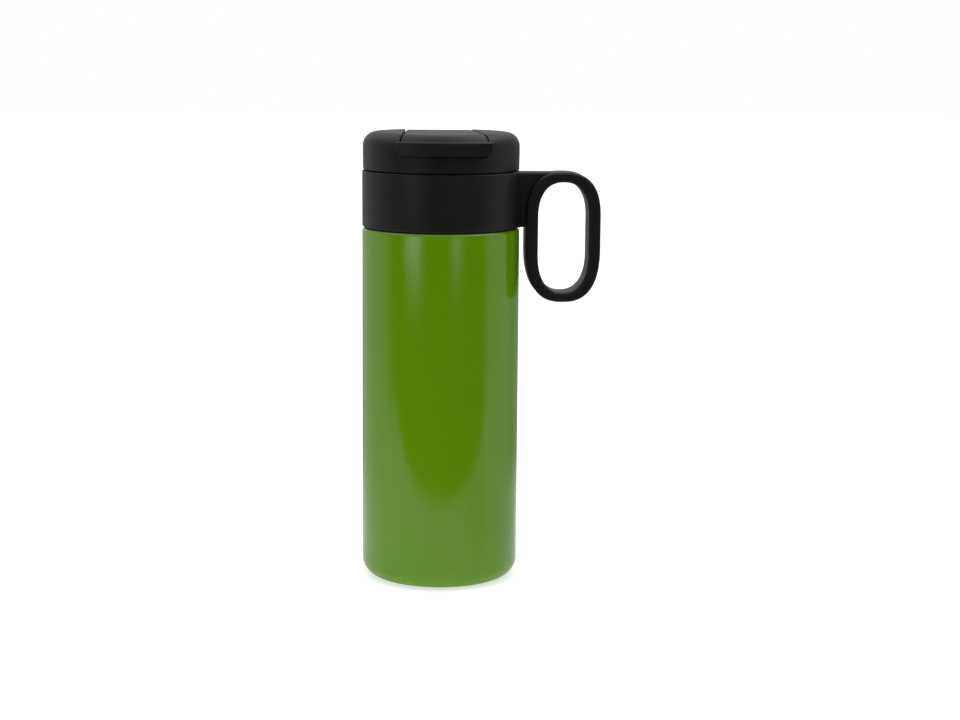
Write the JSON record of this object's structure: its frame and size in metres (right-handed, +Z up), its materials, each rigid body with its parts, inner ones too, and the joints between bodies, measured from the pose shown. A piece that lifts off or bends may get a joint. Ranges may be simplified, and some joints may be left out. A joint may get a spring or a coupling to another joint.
{
  "type": "vacuum flask",
  "caption": "Tall double-walled vacuum flask with a black collar, a side loop handle, and a screw lid with a flip-up drinking cap.",
  "frame": {"origin": "centre of the base pad's underside, on the bottle's axis", "axes": "+Z up along the bottle's axis, +X towards the handle, -Y towards the flip cap's finger tab"},
  "size_m": [0.103, 0.0705, 0.195],
  "materials": {
    "green_paint": "satin lacquer over steel",
    "black_plastic": "fine matt texture",
    "steel": "brushed",
    "clear_silicone": "translucent white silicone",
    "grey_silicone": "grey silicone",
    "black_silicone": "matt black silicone",
    "foam": "white expanded foam",
    "zirconium": "pressed grey metal powder",
    "seal_glass": "dark solder glass"
  },
  "bodies": {
    "flask": {"outer_shell": "green_paint", "outer_bottom": "steel", "vacuum_seal": "seal_glass", "base_pad": "black_silicone", "inner_vessel": "steel", "getter_clip": "steel", "getter_tablet": "zirconium", "handle_collar": "black_plastic", "neck_ring": "black_plastic", "collar_seal": "grey_silicone"},
    "lid_gaskets": {"plug_gasket": "clear_silicone", "rim_gasket": "clear_silicone"},
    "lid": {"lid_shell": "black_plastic", "lid_insert": "black_plastic", "lid_foam": "foam", "duct_gasket": "grey_silicone", "hinge_pin": "steel"},
    "cap": {"flip_cap": "black_plastic", "spout_stopper": "grey_silicone", "vent_stopper": "grey_silicone"}
  },
  "joints": [
    {"name": "lid_rise", "type": "slide", "parent": "flask", "child": "lid_gaskets", "axis": [0, 0, 1], "range_m": [0, 0.0221]},
    {"name": "lid_turn", "type": "hinge", "parent": "lid_gaskets", "child": "lid", "pos_m": [0, 0, 0.168], "axis": [0, 0, 1], "range_deg": [0, 990]},
    {"name": "cap_flip", "type": "hinge", "parent": "lid", "child": "cap", "pos_m": [0, 0.025, 0.1914], "axis": [-1, 0, 0], "range_deg": [0, 115]}
  ],
  "couplings": [
    {"joint": "lid_rise", "follows": "lid_turn", "m_per_rad": 0.0012732}
  ]
}
